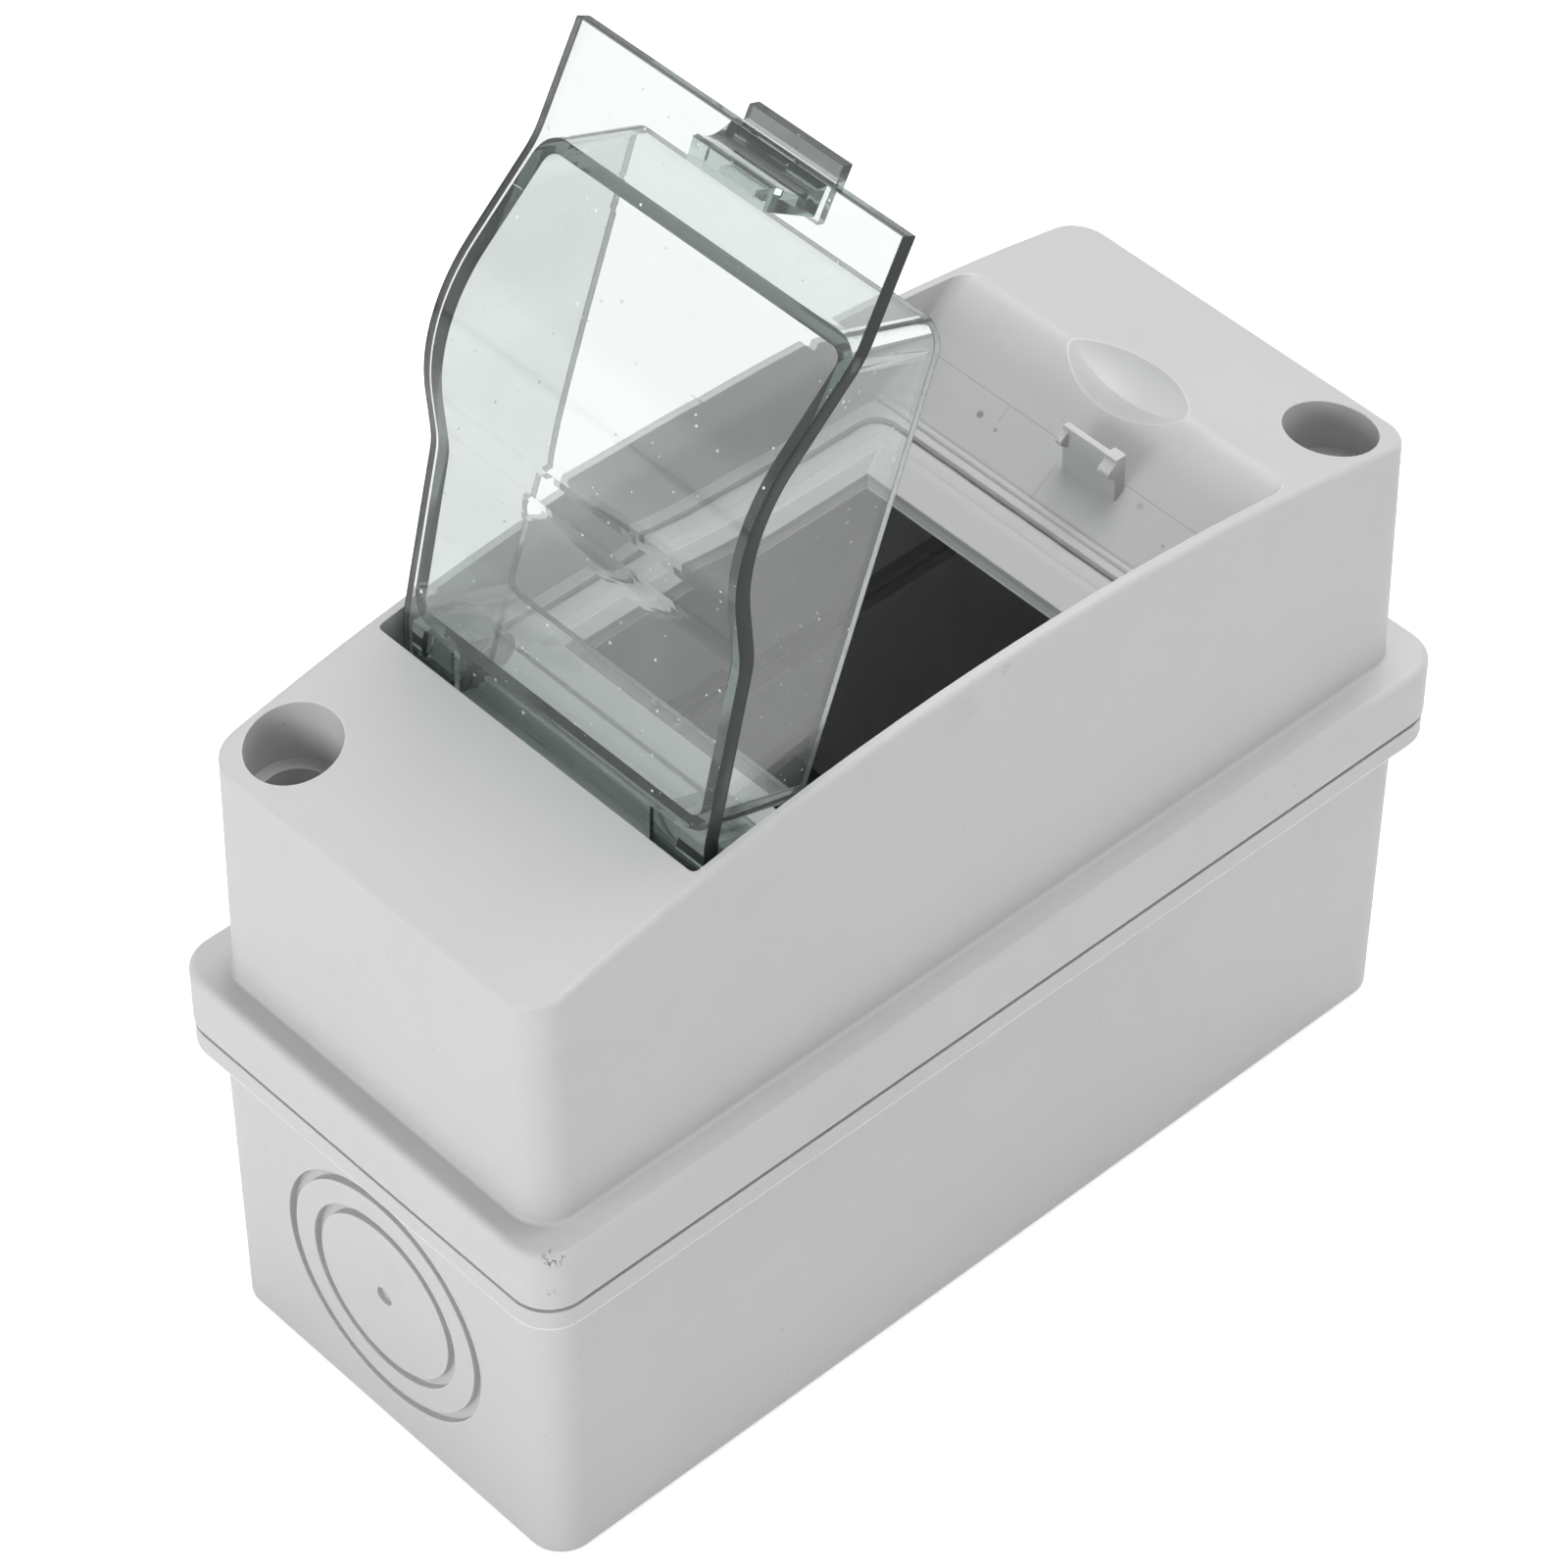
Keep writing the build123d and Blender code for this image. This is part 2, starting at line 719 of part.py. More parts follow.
def screw(x, y, seat, shank_radius, length, head_radius, head_height, slot_length):
    """Round-headed screw with a cross recess, standing in its hole."""
    head = post(x, y, head_radius, seat, seat + head_height)
    head = chamfer(head.faces().sort_by(Axis.Z)[-1].edges(), head_height / 2)
    body = head + post(x, y, shank_radius, seat - length, seat)
    cross = Box(slot_length, screw_slot_width, 2 * screw_slot_depth)
    cross += Box(screw_slot_width, slot_length, 2 * screw_slot_depth)
    return body - Pos(x, y, seat + head_height) * cross


def cover_screws():
    """The two long screws that hold the cover down."""
    seat = screw_seat + screw_seal_thickness
    return [screw(x, y, seat, screw_radius, screw_length, screw_head_radius, screw_head_height,
                  screw_slot_length) for x, y in screw_places()]


def screw_seals():
    """Sealing ring under each cover screw head."""
    top = screw_seat + screw_seal_thickness
    rings = []
    for x, y in screw_places():
        disc = post(x, y, screw_head_radius + screw_seal_play, screw_seat, top)
        rings.append(disc - post(x, y, screw_radius + screw_seal_play, screw_seat, top))
    return rings


def rail_screws():
    """The two screws that hold the rail on its pillars."""
    seat = rail_low + rail_metal
    return [screw(side * rail_screw_x, 0, seat, rail_screw_radius, rail_screw_length,
                  rail_screw_head_radius, rail_screw_head_height, rail_screw_slot_length)
            for side in (-1, 1)]


def save(solid, name):
    """Write one piece, or a group of equal pieces, to its own file."""
    export_step(Compound(children=solid) if isinstance(solid, list) else solid, f"parts/{name}.step")


save(back_box(), "back_box")
save(front_cover(), "front_cover")
save(door(), "door")
save(door_seal(), "door_seal")
save(cover_gasket(), "cover_gasket")
save(din_rail(), "din_rail")
save(rail_screws(), "rail_screws")
save(cover_screws(), "cover_screws")
save(screw_seals(), "screw_seals")
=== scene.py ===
"""Looks of the small two-module distribution box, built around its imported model."""

import json
import logging
import math
from dataclasses import dataclass
from enum import Enum
from typing import Any, Callable, Iterable, Optional, Sequence, Union

import bmesh
import bpy
from mathutils import Matrix, Vector


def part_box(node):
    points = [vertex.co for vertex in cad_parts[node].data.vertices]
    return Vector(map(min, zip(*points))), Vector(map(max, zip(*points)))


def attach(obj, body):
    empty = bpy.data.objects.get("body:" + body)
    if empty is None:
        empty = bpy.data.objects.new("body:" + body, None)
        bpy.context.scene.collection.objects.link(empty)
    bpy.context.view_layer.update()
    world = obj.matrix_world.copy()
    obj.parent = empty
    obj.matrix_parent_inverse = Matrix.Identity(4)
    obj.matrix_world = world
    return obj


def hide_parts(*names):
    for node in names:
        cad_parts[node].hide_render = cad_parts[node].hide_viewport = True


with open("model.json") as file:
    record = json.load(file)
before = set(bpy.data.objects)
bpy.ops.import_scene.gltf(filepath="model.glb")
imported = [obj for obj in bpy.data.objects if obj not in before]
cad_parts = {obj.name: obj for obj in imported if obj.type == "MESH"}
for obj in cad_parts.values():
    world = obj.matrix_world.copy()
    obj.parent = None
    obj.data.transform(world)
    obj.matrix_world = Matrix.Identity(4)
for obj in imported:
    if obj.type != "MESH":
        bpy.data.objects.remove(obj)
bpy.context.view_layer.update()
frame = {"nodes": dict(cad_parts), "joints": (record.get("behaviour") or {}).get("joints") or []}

MM = 0.001
log = logging.getLogger("distribution_box")

Number = Union[int, float]
Colour = tuple[float, float, float]


class Ray(Enum):
    """Kinds of ray that the Light Path node tells apart."""

    CAMERA = "Is Camera Ray"
    GLOSSY = "Is Glossy Ray"
    TRANSMISSION = "Is Transmission Ray"
    SHADOW = "Is Shadow Ray"


class Grain(Enum):
    """Direction in which a scratch pattern is drawn out."""

    ALONG_X = (1.0, 14.0, 14.0)
    ALONG_Z = (14.0, 14.0, 1.0)


@dataclass(frozen=True)
class Signal:
    """One output of a shader node that takes part in plain arithmetic."""

    shading: "Shading"
    output: bpy.types.NodeSocket

    def __add__(self, other: "Term") -> "Signal":
        """Sum of two values."""
        return self.shading.math("ADD", self, other)

    def __radd__(self, other: "Term") -> "Signal":
        """Sum of two values, reflected."""
        return self.shading.math("ADD", other, self)

    def __sub__(self, other: "Term") -> "Signal":
        """Difference of two values."""
        return self.shading.math("SUBTRACT", self, other)

    def __rsub__(self, other: "Term") -> "Signal":
        """Difference of two values, reflected."""
        return self.shading.math("SUBTRACT", other, self)

    def __mul__(self, other: "Term") -> "Signal":
        """Product of two values."""
        return self.shading.math("MULTIPLY", self, other)

    def __rmul__(self, other: "Term") -> "Signal":
        """Product of two values, reflected."""
        return self.shading.math("MULTIPLY", other, self)

    def __abs__(self) -> "Signal":
        """Value without its sign."""
        return self.shading.math("ABSOLUTE", self)

    def __lt__(self, other: "Term") -> "Signal":
        """One where this value is under the other, else zero."""
        return self.shading.math("LESS_THAN", self, other)

    def __gt__(self, other: "Term") -> "Signal":
        """One where this value is over the other, else zero."""
        return self.shading.math("GREATER_THAN", self, other)

    def most(self, other: "Term") -> "Signal":
        """Larger of two values."""
        return self.shading.math("MAXIMUM", self, other)

    def ramp(self, low: float, high: float) -> "Signal":
        """Smooth step of this value.

        Args:
            low: Value at which the step begins at zero.
            high: Value at which the step ends at one.

        Returns:
            The step, between zero and one.
        """
        node = self.shading.node(
            "ShaderNodeMapRange",
            {"interpolation_type": "SMOOTHSTEP"},
            {"Value": self, "From Min": low, "From Max": high, "To Min": 0.0, "To Max": 1.0},
        )
        return Signal(self.shading, node.outputs["Result"])


Term = Union[Signal, Number]


class Shading:
    """Node tree of one material or of the world, with the few calls that fill it."""

    def __init__(self, tree: bpy.types.NodeTree) -> None:
        """Empty the tree and keep it.

        Args:
            tree: Node tree to fill.
        """
        self.tree = tree
        self.tree.nodes.clear()

    @classmethod
    def for_material(cls, name: str) -> tuple[bpy.types.Material, "Shading"]:
        """Make a material with an empty tree.

        Args:
            name: Name of the material.

        Returns:
            The material and its tree.
        """
        material = bpy.data.materials.new(name)
        material.use_nodes = True
        return material, cls(material.node_tree)

    def node(
        self,
        kind: str,
        settings: Optional[dict[str, Any]] = None,
        sockets: Optional[dict[Union[str, int], Any]] = None,
    ) -> bpy.types.Node:
        """Add one node.

        Args:
            kind: Type of the node.
            settings: Properties of the node, set before its sockets.
            sockets: Values or signals of its inputs, by name or place.

        Returns:
            The node.
        """
        made = self.tree.nodes.new(kind)
        for key, value in (settings or {}).items():
            setattr(made, key, value)
        for key, value in (sockets or {}).items():
            socket = made.inputs[key]
            if isinstance(value, Signal):
                self.tree.links.new(value.output, socket)
            elif isinstance(value, bpy.types.NodeSocket):
                self.tree.links.new(value, socket)
            elif isinstance(value, tuple) and len(value) == 3 and socket.type == "RGBA":
                socket.default_value = (*value, 1.0)
            else:
                socket.default_value = value
        return made

    def signal(self, node: bpy.types.Node, output: Union[str, int] = 0) -> Signal:
        """Wrap one output of a node."""
        return Signal(self, node.outputs[output])

    def math(self, operation: str, *terms: Term) -> Signal:
        """Add a Math node.

        Args:
            operation: Name of the operation.
            terms: Values or signals that it works on.

        Returns:
            Its result.
        """
        sockets = dict(enumerate(terms))
        return self.signal(self.node("ShaderNodeMath", {"operation": operation}, sockets))

    def place(self) -> Signal:
        """Place on the object in metres, in the frame of the whole box."""
        return self.signal(self.node("ShaderNodeTexCoord"), "Object")

    def axes(self, vector: Signal) -> tuple[Signal, Signal, Signal]:
        """Split a vector into its three values."""
        node = self.node("ShaderNodeSeparateXYZ", None, {0: vector})
        return self.signal(node, 0), self.signal(node, 1), self.signal(node, 2)

    def stretch(self, vector: Signal, scale: Sequence[float]) -> Signal:
        """Multiply a vector by three numbers."""
        node = self.node(
            "ShaderNodeVectorMath", {"operation": "MULTIPLY"}, {0: vector, 1: tuple(scale)}
        )
        return self.signal(node)

    def noise(self, vector: Signal, scale: float, detail: float = 3.0, rough: float = 0.55) -> Signal:
        """Noise between zero and one.

        Args:
            vector: Where it is read.
            scale: Waves in a metre.
            detail: Number of finer layers.
            rough: Strength of the finer layers.

        Returns:
            The noise.
        """
        node = self.node(
            "ShaderNodeTexNoise",
            {"noise_dimensions": "3D"},
            {"Vector": vector, "Scale": scale, "Detail": detail, "Roughness": rough},
        )
        return self.signal(node, 0)

    def cells(self, vector: Signal, scale: float) -> tuple[Signal, Signal]:
        """Distance to the middle of the nearest cell, and a random value for that cell.

        Args:
            vector: Where they are read.
            scale: Cells in a metre.

        Returns:
            The distance and the random value.
        """
        node = self.node(
            "ShaderNodeTexVoronoi",
            {"feature": "F1"},
            {"Vector": vector, "Scale": scale, "Randomness": 1.0},
        )
        chance = self.node("ShaderNodeSeparateColor", None, {0: self.signal(node, "Color")})
        return self.signal(node, "Distance"), self.signal(chance, 0)

    def mix(self, factor: Term, first: Union[Signal, Colour], second: Union[Signal, Colour]) -> Signal:
        """Blend two colours.

        Args:
            factor: Zero for the first colour, one for the second.
            first: First colour.
            second: Second colour.

        Returns:
            The blend.
        """
        node = self.node(
            "ShaderNodeMix",
            {"data_type": "RGBA", "blend_type": "MIX"},
            {"Factor": factor, 6: first, 7: second},
        )
        return self.signal(node, 2)

    def bump(self, height: Signal, depth: float, normal: Optional[Signal] = None) -> Signal:
        """Turn a height into a normal.

        Args:
            height: Height between zero and one.
            depth: Depth in metres of a height of one.
            normal: Normal to build on.

        Returns:
            The bumped normal.
        """
        sockets: dict[Union[str, int], Any] = {"Height": height, "Distance": depth, "Strength": 1.0}
        if normal is not None:
            sockets["Normal"] = normal
        return self.signal(self.node("ShaderNodeBump", None, sockets))

    def rounded(self, radius: float, samples: int = 4) -> Signal:
        """Normal that softens sharp edges.

        Args:
            radius: Radius of the softened edge in metres.
            samples: Rays that look for edges.

        Returns:
            The softened normal.
        """
        return self.signal(self.node("ShaderNodeBevel", {"samples": samples}, {"Radius": radius}))

    def edges(self, softened: Signal, low: float, high: float) -> Signal:
        """Mask of the edges, where the softened normal leaves the plain one.

        Args:
            softened: Normal that softens sharp edges.
            low: Difference at which an edge begins.
            high: Difference of a full edge.

        Returns:
            One on a sharp edge, zero on a plain face.
        """
        plain = self.signal(self.node("ShaderNodeNewGeometry"), "Normal")
        same = self.node("ShaderNodeVectorMath", {"operation": "DOT_PRODUCT"}, {0: softened, 1: plain})
        return (1 - self.signal(same, "Value")).ramp(low, high)

    def turned(self, vector: Signal, centre: Vector, angle: float) -> Signal:
        """Turn a place about a line along X.

        Args:
            vector: Place to turn.
            centre: Point on the line.
            angle: Angle in radians.

        Returns:
            The turned place.
        """
        node = self.node(
            "ShaderNodeVectorRotate",
            {"rotation_type": "X_AXIS"},
            {"Vector": vector, "Center": tuple(centre), "Angle": angle},
        )
        return self.signal(node)

    def apart(self, vector: Signal, point: Sequence[float]) -> Signal:
        """Distance of a place from a point."""
        sockets = {0: vector, 1: tuple(point)}
        return self.signal(self.node("ShaderNodeVectorMath", {"operation": "DISTANCE"}, sockets), "Value")

    def warped(self, vector: Signal, scale: float, reach: float) -> Signal:
        """Bend a place to and fro by soft noise.

        Args:
            vector: Place to bend.
            scale: Waves in a metre.
            reach: How far it strays in metres.

        Returns:
            The bent place.
        """
        noise = self.node("ShaderNodeTexNoise", None, {"Vector": vector, "Scale": scale, "Detail": 2.0})
        centred = self.node(
            "ShaderNodeVectorMath",
            {"operation": "MULTIPLY_ADD"},
            {0: self.signal(noise, "Color"), 1: (2 * reach,) * 3, 2: (-reach,) * 3},
        )
        moved = {0: vector, 1: self.signal(centred)}
        return self.signal(self.node("ShaderNodeVectorMath", {"operation": "ADD"}, moved))

    def blend(self, factor: Term, first: bpy.types.Node, second: bpy.types.Node) -> bpy.types.Node:
        """Mix two shaders.

        Args:
            factor: Zero for the first shader, one for the second.
            first: First shader.
            second: Second shader.

        Returns:
            The mixed shader.
        """
        sockets = {0: factor, 1: first.outputs[0], 2: second.outputs[0]}
        return self.node("ShaderNodeMixShader", None, sockets)

    def rays(self, kinds: Iterable[Ray]) -> Signal:
        """One for the given kinds of ray, else zero.

        Args:
            kinds: Kinds of ray.

        Returns:
            The mask.
        """
        node = self.node("ShaderNodeLightPath")
        found = [self.signal(node, kind.value) for kind in kinds]
        total = found[0]
        for other in found[1:]:
            total = total.most(other)
        return total

    def principled(self, sockets: dict[Union[str, int], Any]) -> bpy.types.Node:
        """Add the main surface shader."""
        return self.node("ShaderNodeBsdfPrincipled", None, sockets)

    def finish(self, surface: bpy.types.Node, volume: Optional[bpy.types.Node] = None) -> None:
        """Connect the output.

        Args:
            surface: Surface shader.
            volume: Volume shader, for what light passes through.
        """
        sockets: dict[Union[str, int], Any] = {"Surface": surface.outputs[0]}
        if volume is not None:
            sockets["Volume"] = volume.outputs[0]
        self.node("ShaderNodeOutputMaterial", None, sockets)


@dataclass(frozen=True)
class Space:
    """Box-shaped space in the housing, whose walls get painted shade (the recess) or painted light (the
    cavity) of their own.
    """

    half_x: float
    half_y: float
    low: float
    high: float
    edge: float = 0.4 * MM

    def mask(self, shading: Shading) -> Signal:
        """One on the walls of the space and inside it, zero outside.

        Args:
            shading: Tree that gets the nodes.

        Returns:
            The mask.
        """
        x, y, z = shading.axes(shading.place())
        inside = (abs(x) < self.half_x + self.edge) * (abs(y) < self.half_y + self.edge)
        return inside * (z > self.low - self.edge) * (z < self.high + self.edge)


@dataclass(frozen=True)
class Specks:
    """Sparse specks, one in each cell whose chance is high."""

    cells: float
    size: float
    share: float

    def hard(self, shading: Shading, place: Signal) -> Signal:
        """One on a speck, zero beside it."""
        distance, chance = shading.cells(place, self.cells)
        return (distance < self.size) * (chance > self.share)

    def soft(self, shading: Shading, place: Signal) -> Signal:
        """One in the middle of a speck, fading to zero at its rim."""
        distance, chance = shading.cells(place, self.cells)
        return (1 - distance.ramp(self.size * 0.5, self.size)) * (chance > self.share)


@dataclass(frozen=True)
class MouldLine:
    """Fine line that a joint between two mould inserts leaves, straight along X or down the slope."""

    along_x: bool
    place: float
    start: float
    end: float
    width: float = 0.11 * MM

    def mask(self, shading: Shading) -> Signal:
        """One on the line, zero beside it.

        Args:
            shading: Tree that gets the nodes.

        Returns:
            The mask.
        """
        x, y, _ = shading.axes(shading.place())
        across, along = (y, x) if self.along_x else (x, y)
        on_line = abs(across - self.place) < self.width / 2
        return on_line * (along > self.start) * (along < self.end)


@dataclass(frozen=True)
class MouldMark:
    """Small round mark, such as an ejector leaves, or a scuffed spot."""

    place: tuple[float, float, float]
    radius: float
    strength: float
    core: float = 0.45

    def mask(self, shading: Shading) -> Signal:
        """Soft spot round the mark.

        Args:
            shading: Tree that gets the nodes.

        Returns:
            The mask, strongest in the middle.
        """
        distance = shading.apart(shading.place(), self.place)
        return (1 - distance.ramp(self.radius * self.core, self.radius)) * self.strength


@dataclass(frozen=True)
class MouldTraces:
    """All lines and marks that moulding left on the far slope of the recess, and scuffs at a corner."""

    slope_low: float
    slope_high: float
    recess_half: float
    lines: tuple[MouldLine, ...] = (
        MouldLine(True, -39.3 * MM, -26.4 * MM, 26.4 * MM),
        MouldLine(False, 10.0 * MM, -39.3 * MM, -37.2 * MM),
        MouldLine(False, 0.0 * MM, -37.2 * MM, -33.0 * MM),
    )
    marks: tuple[MouldMark, ...] = (
        MouldMark((12.6 * MM, -36.9 * MM, 87.7 * MM), 0.62 * MM, 0.75),
        MouldMark((9.6 * MM, -36.5 * MM, 87.4 * MM), 0.40 * MM, 0.55),
        MouldMark((-12.4 * MM, -38.4 * MM, 88.7 * MM), 0.60 * MM, 0.30),
        MouldMark((-18.1 * MM, -36.5 * MM, 87.4 * MM), 0.34 * MM, 0.45),
    )
    scuffs: tuple[MouldMark, ...] = (
        MouldMark((-31.4 * MM, 69.9 * MM, 57.0 * MM), 1.6 * MM, 1.0),
        MouldMark((-32.0 * MM, 70.9 * MM, 51.6 * MM), 1.3 * MM, 0.5),
        MouldMark((-28.2 * MM, -1.0 * MM, 97.6 * MM), 1.3 * MM, 0.3),
    )
    line_strength: float = 0.42
    scuff_scale: float = 900.0
    scuff_width: float = 0.026

    def mask(self, shading: Shading) -> Signal:
        """How dark the traces are.

        Args:
            shading: Tree that gets the nodes.

        Returns:
            Zero where there is no trace.
        """
        x, _, z = shading.axes(shading.place())
        on_slope = (z > self.slope_low) * (z < self.slope_high) * (abs(x) < self.recess_half)
        first, *others = (line.mask(shading) for line in self.lines)
        total = first
        for other in others:
            total = total.most(other)
        total = total * self.line_strength
        for mark in self.marks:
            total = total.most(mark.mask(shading))
        total = total * on_slope
        thread = abs(shading.noise(shading.place(), self.scuff_scale, 2.0) - 0.5) < self.scuff_width
        for scuff in self.scuffs:
            total = total.most(scuff.mask(shading) * thread)
        return total


@dataclass(frozen=True)
class MouldedPlastic:
    """Pale grey moulded housing plastic with a fine grain, soft edges with a painted highlight and the
    marks of handling.
    """

    name: str
    colour: Colour
    roughness: float = 0.44
    grain_scale: float = 2600.0
    grain_depth: float = 0.014 * MM
    mottle: float = 0.05
    waves_scale: float = 160.0
    clouds_scale: float = 22.0
    smudge_scale: float = 95.0
    polish_scale: float = 60.0
    edge_radius: float = 0.30 * MM
    edge_low: float = 0.008
    edge_high: float = 0.09
    # Painted highlight: how much lighter the sharp edges are painted.
    edge_painted_highlight: float = 1.5
    edge_polish: float = 0.08
    worn_polish: float = 0.09
    specular: float = 0.42
    pits: Specks = Specks(190.0, 0.038, 0.30)
    pit_cover: float = 0.55
    pit_shade: float = 0.42
    smudge_shade: float = 0.972
    recess: Optional[Space] = None
    # Painted shade: the walls and floor of the recess are darkened, fading out towards its top.
    recess_painted_shade: float = 0.62
    recess_painted_shade_share: float = 0.52
    fade_low: float = 8.0 * MM
    fade_high: float = 3.6 * MM
    cavity: Optional[Space] = None
    # Painted light: the walls inside the closed box are made lighter than the plastic.
    cavity_painted_light: float = 1.35
    traces: Optional[MouldTraces] = None
    trace_shade: float = 0.28

    def build(self) -> bpy.types.Material:
        """Make the material.

        Returns:
            The material.
        """
        material, shading = Shading.for_material(self.name)
        place = shading.place()
        soft = shading.rounded(self.edge_radius)
        edge = shading.edges(soft, self.edge_low, self.edge_high)
        pits = self.pits.soft(shading, place)
        tone = self._tone(shading, place, edge, pits)
        grain = shading.noise(place, self.grain_scale, 2.0, 0.6)
        waves = shading.noise(place, self.waves_scale, 2.0, 0.5)
        height = grain * 0.7 + waves * 0.3 - pits * 0.9
        worn = shading.noise(place, self.polish_scale, 3.0, 0.6).ramp(0.35, 0.75)
        surface = shading.principled(
            {
                "Base Color": tone,
                "Roughness": self.roughness + worn * self.worn_polish - edge * self.edge_polish,
                "Specular IOR Level": self.specular,
                "Normal": shading.bump(height, self.grain_depth, soft),
            }
        )
        shading.finish(surface)
        return material

    def _tone(self, shading: Shading, place: Signal, edge: Signal, pits: Signal) -> Signal:
        """Colour with broad clouds, smudges, pits, painted edge highlights, mould traces, painted shade
        in the recess and painted light in the cavity.

        Args:
            shading: Tree that gets the nodes.
            place: Place on the object.
            edge: Mask of the edges.
            pits: Mask of the pits.

        Returns:
            The colour.
        """
        broad = shading.noise(place, self.clouds_scale, 4.0, 0.6)
        tone = shading.mix(broad, self._shade(1.0 - self.mottle), self._shade(1.0 + self.mottle))
        smudge = shading.noise(place, self.smudge_scale, 3.0, 0.65).ramp(0.56, 0.78)
        tone = shading.mix(smudge, tone, self._shade(self.smudge_shade))
        # Painted highlight: sharp edges made lighter, as where light catches them.
        tone = shading.mix(edge, tone, self._shade(self.edge_painted_highlight))
        tone = shading.mix(pits * self.pit_cover, tone, self._shade(self.pit_shade))
        # Painted shade: the recess is darkened, fading out towards its top.
        if self.recess is not None:
            _, _, height = shading.axes(place)
            top = self.recess.high
            fade = 1 - height.ramp(top - self.fade_low, top - self.fade_high)
            shaded = self.recess.mask(shading) * fade * self.recess_painted_shade_share
            tone = shading.mix(shaded, tone, self._shade(self.recess_painted_shade))
        if self.traces is not None:
            tone = shading.mix(self.traces.mask(shading), tone, self._shade(self.trace_shade))
        # Painted light: walls inside the closed box made lighter than the plastic.
        if self.cavity is not None:
            tone = shading.mix(self.cavity.mask(shading), tone, self._shade(self.cavity_painted_light))
        return tone

    def _shade(self, share: float) -> Colour:
        """Plastic colour, lighter or darker by a share."""
        return tuple(min(part * share, 1.0) for part in self.colour)


@dataclass(frozen=True)
class ClosedDoor:
    """Places on the door as they lie when it is closed, which tell its cut edges and its rim."""

    hinge: Vector
    angle: float
    half_x: float
    free_end: float = -43.8 * MM
    rim: float = 84.6 * MM
    skin: float = 0.12 * MM

    def sides(self, shading: Shading) -> Signal:
        """Mask of the long side faces of the plate."""
        x, _, _ = shading.axes(shading.turned(shading.place(), self.hinge, self.angle))
        return abs(x) > self.half_x - self.skin

    def ends(self, shading: Shading) -> Signal:
        """Mask of the free end of the plate and of the rim of the tub."""
        _, y, z = shading.axes(shading.turned(shading.place(), self.hinge, self.angle))
        return (y < self.free_end + self.skin).most(z < self.rim + self.skin)


@dataclass(frozen=True)
class ClearPlastic:
    """Clear moulded plastic with a faint green-grey tint, cut edges painted near black as painted shade,
    dust and fine scratches.
    """

    name: str
    absorbed: Colour
    density: float
    closed: ClosedDoor
    tint: Colour = (0.975, 0.985, 0.98)
    # Painted shade: the cut edges of the plate and the rim of the tub get a near-black colour.
    cut_edge_painted_shade: Colour = (0.022, 0.027, 0.026)
    side_cover: float = 0.90
    end_cover: float = 0.50
    roughness: float = 0.012
    refraction: float = 1.58
    scratches: tuple[tuple[Grain, Specks], ...] = (
        (Grain.ALONG_Z, Specks(42.0, 0.045, 0.90)),
        (Grain.ALONG_X, Specks(42.0, 0.045, 0.94)),
    )
    scratch_depth: float = 0.004 * MM
    scratch_cover: float = 0.35
    bend_scale: float = 40.0
    bend_reach: float = 1.6 * MM
    dust: tuple[Specks, Specks] = (Specks(620.0, 0.105, 0.84), Specks(210.0, 0.05, 0.74))
    dust_colour: Colour = (0.86, 0.87, 0.86)
    dust_cover: float = 0.8
    haze: float = 0.035
    haze_scale: float = 75.0
    shadow_tint: Colour = (0.77, 0.79, 0.78)

    def build(self) -> bpy.types.Material:
        """Make the material.

        Returns:
            The material.
        """
        material, shading = Shading.for_material(self.name)
        place = shading.place()
        side, end = self.closed.sides(shading), self.closed.ends(shading)
        scratches = self._scratches(shading, place)
        clouds = shading.noise(place, self.haze_scale, 4.0, 0.65).ramp(0.52, 0.78)
        surface = shading.principled(
            {
                "Base Color": self.tint,
                "Roughness": self.roughness + scratches * 0.25 + end * 0.12 + side * 0.04,
                "IOR": self.refraction,
                "Transmission Weight": 1.0,
                "Normal": shading.bump(scratches, self.scratch_depth),
            }
        )
        film = shading.node("ShaderNodeBsdfDiffuse", None, {"Color": self.dust_colour})
        cover = (self._dust(shading, place) * self.dust_cover).most(scratches * self.scratch_cover)
        cover = cover.most(clouds * self.haze + self.haze)
        dusty = shading.blend(cover, surface, film)
        # Painted shade: near-black surface on the cut edges and the rim, mixed in by their masks.
        painted_shade_cut = shading.principled(
            {"Base Color": self.cut_edge_painted_shade, "Roughness": 0.3, "Specular IOR Level": 0.14}
        )
        trim = (side * self.side_cover).most(end * self.end_cover)
        trimmed = shading.blend(trim, dusty, painted_shade_cut)
        passing = shading.node("ShaderNodeBsdfTransparent", None, {"Color": self.shadow_tint})
        both = shading.blend(shading.rays([Ray.SHADOW]), trimmed, passing)
        volume = shading.node(
            "ShaderNodeVolumeAbsorption", None, {"Color": self.absorbed, "Density": self.density}
        )
        shading.finish(both, volume)
        return material

    def _scratches(self, shading: Shading, place: Signal) -> Signal:
        """Few thin, slightly bent scratches in two directions.

        Args:
            shading: Tree that gets the nodes.
            place: Place on the object.

        Returns:
            One on a scratch, zero beside it.
        """
        bent = shading.warped(place, self.bend_scale, self.bend_reach)
        first, second = (
            specks.hard(shading, shading.stretch(bent, grain.value)) for grain, specks in self.scratches
        )
        return first.most(second)

    def _dust(self, shading: Shading, place: Signal) -> Signal:
        """Specks of dust in two sizes."""
        fine, coarse = self.dust
        return fine.hard(shading, place).most(coarse.hard(shading, place))


